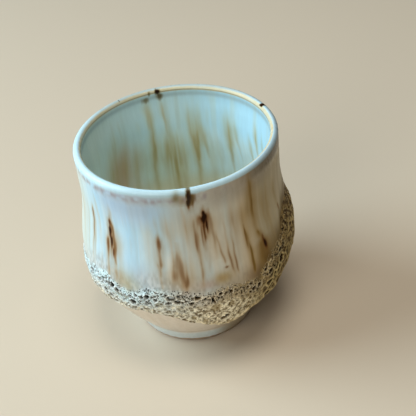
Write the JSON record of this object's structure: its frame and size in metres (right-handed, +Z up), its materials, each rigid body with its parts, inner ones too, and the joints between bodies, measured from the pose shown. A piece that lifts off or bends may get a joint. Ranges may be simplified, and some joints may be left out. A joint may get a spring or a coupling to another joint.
{
  "type": "stoneware mug",
  "caption": "Rounded handleless stoneware mug on a narrow turned foot, with smooth pale glazes, brown iron runs and a raised band of foamed crater glaze; holds a hot drink.",
  "frame": {"origin": "on the mug's axis, on the plane of the foot that stands on the table", "axes": "+Z up along the mug's axis, -Y towards the front that the picture shows, +X to its right, where the crater band climbs highest"},
  "size_m": [0.0943, 0.094, 0.093],
  "materials": {
    "stoneware_clay": "bare fired stoneware, matt",
    "liner_glaze": "glossy pale green glaze with olive runs",
    "rim_glaze": "glossy white glaze",
    "outer_glaze": "satin cream glaze with brown iron runs",
    "base_glaze": "smooth beige glaze",
    "crater_glaze": "foamed glaze with open pores, matt to satin"
  },
  "bodies": {
    "root": {"clay_body": "stoneware_clay", "foot_ring": "stoneware_clay", "liner_glaze": "liner_glaze", "rim_glaze": "rim_glaze", "outer_glaze": "outer_glaze", "base_glaze": "base_glaze", "crater_glaze": "crater_glaze"}
  },
  "joints": []
}
